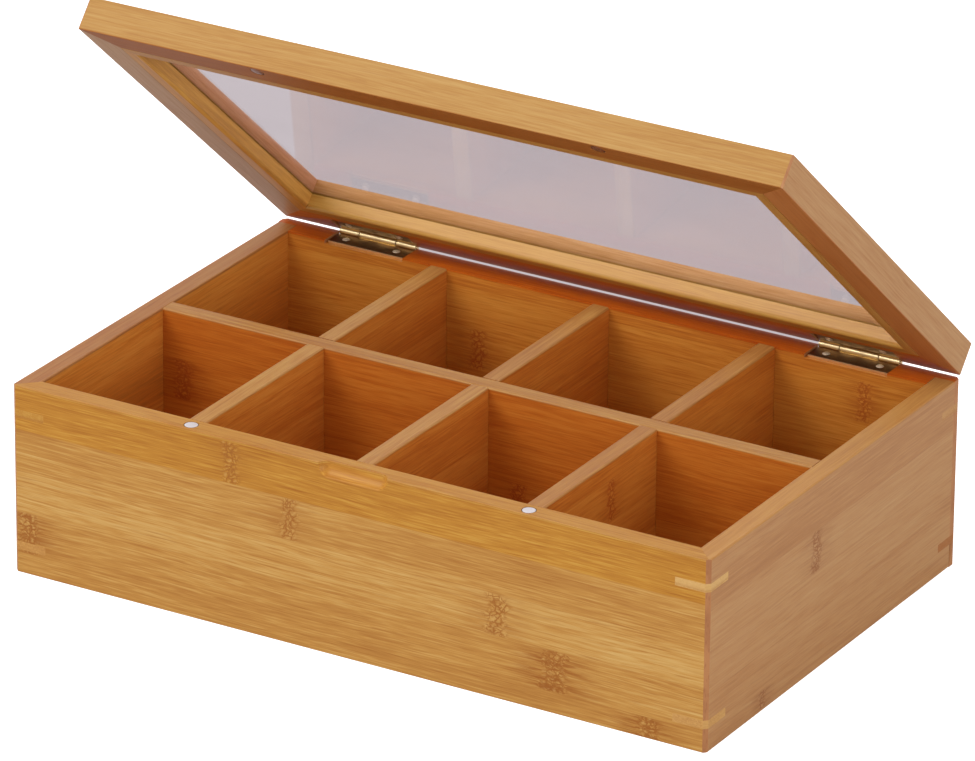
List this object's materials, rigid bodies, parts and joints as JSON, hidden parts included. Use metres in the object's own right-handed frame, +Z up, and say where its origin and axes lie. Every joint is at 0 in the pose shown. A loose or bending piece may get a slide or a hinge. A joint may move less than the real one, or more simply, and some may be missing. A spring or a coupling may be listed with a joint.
{
  "type": "tea bag organizer box",
  "caption": "Rectangular bamboo box divided into open compartments for tea bags, with a hinged framed lid that holds a clear window and closes on magnets.",
  "frame": {"origin": "centre of the box's base, on the surface that it stands on", "axes": "+X to the right along the front, +Y to the back where the lid is hinged, +Z up"},
  "size_m": [0.32, 0.2155, 0.2285],
  "materials": {
    "box_bamboo": "satin lacquered caramelised bamboo, fine straight grain",
    "lid_bamboo": "satin lacquered caramelised bamboo, fine straight grain",
    "key_bamboo": "satin lacquered dark bamboo, end grain and long grain",
    "clear_pane": "clear polished sheet",
    "hinge_brass": "polished brass plate",
    "magnet_plate": "nickel plated"
  },
  "bodies": {
    "box": {"front_panel": "box_bamboo", "back_panel": "box_bamboo", "left_panel": "box_bamboo", "right_panel": "box_bamboo", "bottom_panel": "box_bamboo", "long_divider": "box_bamboo", "cross_divider_left": "box_bamboo", "cross_divider_middle": "box_bamboo", "cross_divider_right": "box_bamboo", "key_front_left_upper": "key_bamboo", "key_front_left_lower": "key_bamboo", "key_front_right_upper": "key_bamboo", "key_front_right_lower": "key_bamboo", "key_back_left_upper": "key_bamboo", "key_back_left_lower": "key_bamboo", "key_back_right_upper": "key_bamboo", "key_back_right_lower": "key_bamboo", "box_magnet_left": "magnet_plate", "box_magnet_right": "magnet_plate", "box_leaf_left": "hinge_brass", "box_leaf_right": "hinge_brass", "hinge_pin_left": "hinge_brass", "hinge_pin_right": "hinge_brass", "box_leaf_screws": "hinge_brass"},
    "lid": {"lid_front_rail": "lid_bamboo", "lid_back_rail": "lid_bamboo", "lid_left_rail": "lid_bamboo", "lid_right_rail": "lid_bamboo", "window_pane": "clear_pane", "bead_front": "lid_bamboo", "bead_back": "lid_bamboo", "bead_left": "lid_bamboo", "bead_right": "lid_bamboo", "lid_magnet_left": "magnet_plate", "lid_magnet_right": "magnet_plate", "lid_leaf_left": "hinge_brass", "lid_leaf_right": "hinge_brass", "lid_leaf_screws": "hinge_brass"}
  },
  "joints": [
    {"name": "lid_hinge", "type": "hinge", "parent": "box", "child": "lid", "pos_m": [0, 0.1038, 0.08215], "axis": [-1, 0, 0], "range_deg": [-41, 54]}
  ]
}
